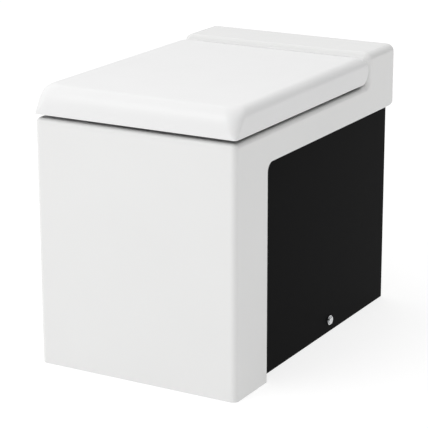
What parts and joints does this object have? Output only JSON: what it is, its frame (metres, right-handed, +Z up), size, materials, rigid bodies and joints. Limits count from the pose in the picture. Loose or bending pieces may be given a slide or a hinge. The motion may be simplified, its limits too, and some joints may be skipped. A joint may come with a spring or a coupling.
{
  "type": "toilet",
  "caption": "Square floor-standing back-to-wall toilet pan with a wrap-over soft-close lid, a seat ring and a recessed black pedestal",
  "frame": {"origin": "on the floor at the middle of the footprint", "axes": "+Z up, front of the pan faces -Y, its wall face is at +Y, +X is the pan's left-hand side seen from the front"},
  "size_m": [0.361, 0.565, 0.462],
  "materials": {
    "white_glaze": "gloss white vitreous glaze",
    "black_glaze": "gloss black glaze",
    "bowl_glaze": "gloss white glaze inside, unglazed bisque outside",
    "seat_resin": "gloss moulded urea resin",
    "chrome": "polished chrome plate",
    "hinge_steel": "stainless steel",
    "zinc_steel": "zinc plated steel",
    "black_rubber": "matt black rubber",
    "grey_rubber": "soft pale grey rubber",
    "nylon": "natural nylon"
  },
  "bodies": {
    "pan": {"white_shell": "white_glaze", "black_pedestal": "black_glaze", "bowl": "bowl_glaze", "trapway": "bowl_glaze", "flush_inlet": "bowl_glaze", "inlet_seal": "black_rubber", "screw_sleeve_left": "nylon", "side_screw_left": "zinc_steel", "floor_bracket_left": "zinc_steel", "floor_screw_left": "zinc_steel", "screw_sleeve_right": "nylon", "side_screw_right": "zinc_steel", "floor_bracket_right": "zinc_steel", "floor_screw_right": "zinc_steel", "hinge_plate_left": "hinge_steel", "hinge_post_left": "chrome", "hinge_pin_left": "hinge_steel", "hinge_bolt_left": "zinc_steel", "bolt_washer_left": "black_rubber", "wing_nut_left": "nylon", "hinge_plate_right": "hinge_steel", "hinge_post_right": "chrome", "hinge_pin_right": "hinge_steel", "hinge_bolt_right": "zinc_steel", "bolt_washer_right": "black_rubber", "wing_nut_right": "nylon"},
    "seat": {"seat_ring": "seat_resin", "seat_damper": "nylon", "seat_buffer_front_left": "grey_rubber", "seat_buffer_rear_left": "grey_rubber", "seat_buffer_front_right": "grey_rubber", "seat_buffer_rear_right": "grey_rubber"},
    "lid": {"lid": "seat_resin", "lid_damper": "nylon", "lid_buffer_front_left": "grey_rubber", "lid_buffer_rear_left": "grey_rubber", "lid_buffer_front_right": "grey_rubber", "lid_buffer_rear_right": "grey_rubber"},
    "release_button_left": {"release_button_left": "nylon"},
    "release_button_right": {"release_button_right": "nylon"},
    "screw_cap_left": {"screw_cap_left": "chrome"},
    "screw_cap_right": {"screw_cap_right": "chrome"}
  },
  "joints": [
    {"name": "seat_hinge", "type": "hinge", "parent": "pan", "child": "seat", "pos_m": [0, 0.1485, 0.4352], "axis": [-1, 0, 0], "range_deg": [0, 95]},
    {"name": "lid_hinge", "type": "hinge", "parent": "seat", "child": "lid", "pos_m": [0, 0.1485, 0.4352], "axis": [1, 0, 0], "range_deg": [-95, 0]},
    {"name": "release_button_left_press", "type": "slide", "parent": "pan", "child": "release_button_left", "axis": [0, 1, 0], "range_m": [0, 0.0025], "stiffness_N_per_m": 400},
    {"name": "release_button_right_press", "type": "slide", "parent": "pan", "child": "release_button_right", "axis": [0, 1, 0], "range_m": [0, 0.0025], "stiffness_N_per_m": 400},
    {"name": "screw_cap_left_pull", "type": "slide", "parent": "pan", "child": "screw_cap_left", "axis": [-1, 0, 0], "range_m": [0, 0.015]},
    {"name": "screw_cap_right_pull", "type": "slide", "parent": "pan", "child": "screw_cap_right", "axis": [1, 0, 0], "range_m": [0, 0.015]}
  ]
}
